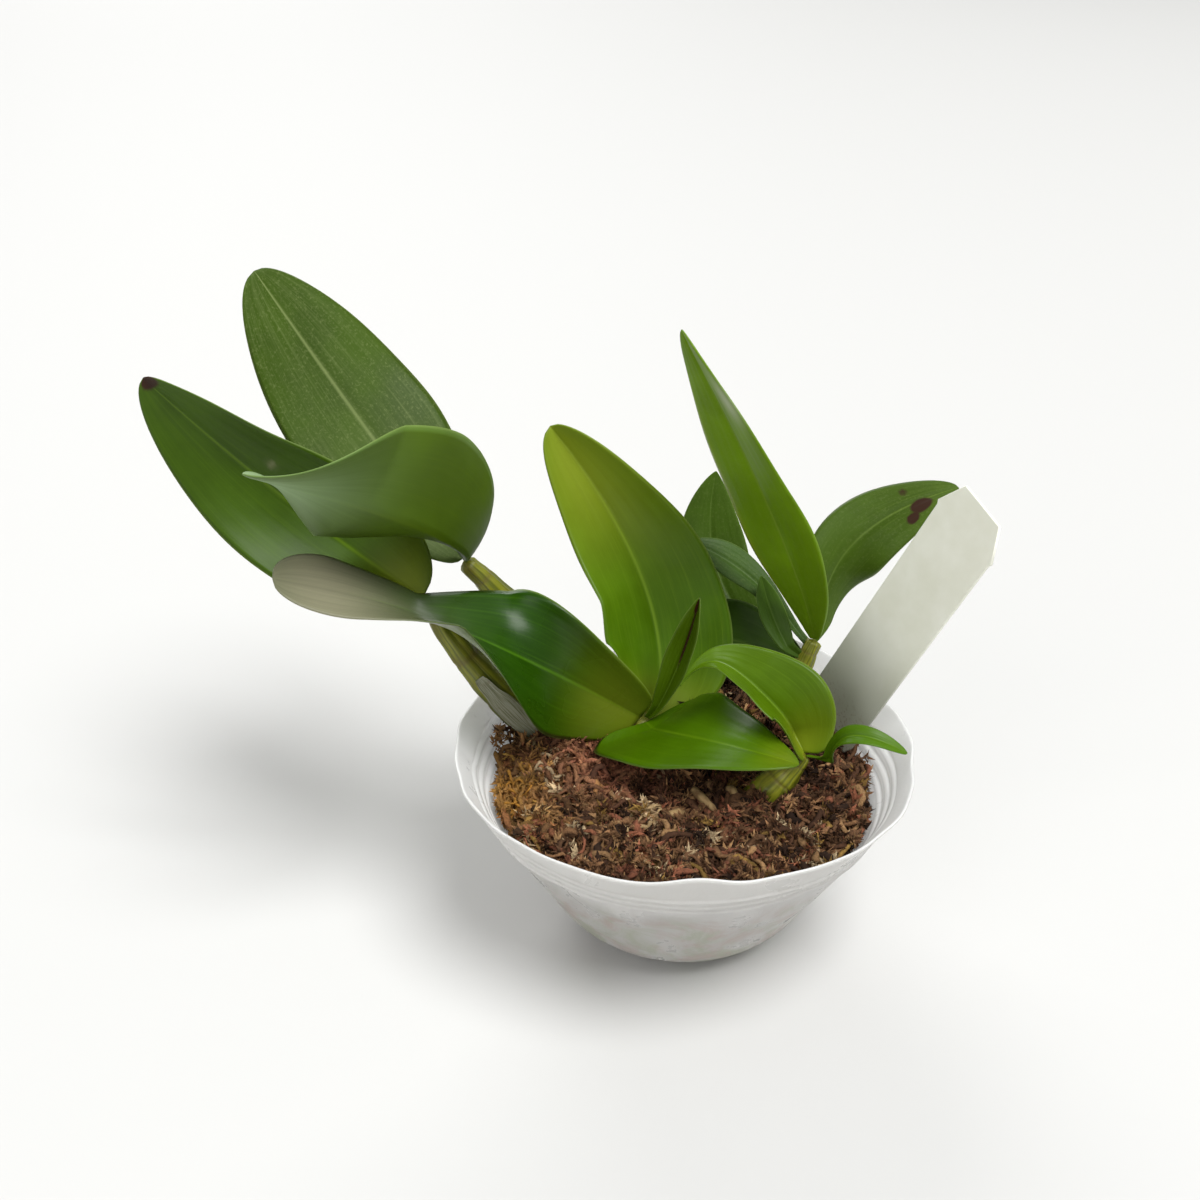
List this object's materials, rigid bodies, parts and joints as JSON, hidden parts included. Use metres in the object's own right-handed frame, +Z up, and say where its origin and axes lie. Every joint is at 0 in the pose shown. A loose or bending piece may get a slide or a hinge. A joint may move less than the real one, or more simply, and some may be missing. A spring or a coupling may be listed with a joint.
{
  "type": "dendrobium orchid in a pot",
  "caption": "Young dendrobium orchid with broad upright leaves on swollen canes, growing in moss in a soft clear plastic bowl pot with a blank plant label.",
  "frame": {"origin": "centre of the pot's flat bottom, on the surface it stands on", "axes": "+Z up, +X to the right as seen from the front, +Y away from the viewer"},
  "size_m": [0.198, 0.1243, 0.1541],
  "materials": {
    "pot": "soft milky-clear plastic, slightly wavy",
    "moss": "rough brown moss with curled strands",
    "label": "satin off-white plastic, dirty at its foot",
    "cane": "yellow-green skin with papery grey sheaths",
    "root": "dry tan skin",
    "leaf_yellow_green": "satin green skin with fine lengthwise veins",
    "leaf_grey_green": "dull grey-green skin with fine lengthwise veins"
  },
  "bodies": {
    "root": {"pot": "pot", "moss": "moss", "label": "label", "cane_left_upper": "cane", "cane_left_lower": "cane", "cane_centre": "cane", "cane_front": "cane", "cane_back": "cane", "root_left": "root", "root_middle": "root", "root_right": "root", "leaf_left_high": "leaf_grey_green", "leaf_left_far": "leaf_yellow_green", "leaf_left_folded": "leaf_grey_green", "leaf_front_left": "leaf_yellow_green", "leaf_centre": "leaf_yellow_green", "leaf_front": "leaf_yellow_green", "leaf_new": "leaf_yellow_green", "leaf_right_cupped": "leaf_yellow_green", "leaf_right_narrow": "leaf_yellow_green", "leaf_right_tall": "leaf_yellow_green", "leaf_right_arched": "leaf_grey_green", "leaf_back": "leaf_grey_green", "leaf_back_folded": "leaf_grey_green", "leaf_back_low": "leaf_grey_green", "leaf_back_small": "leaf_grey_green"}
  },
  "joints": []
}
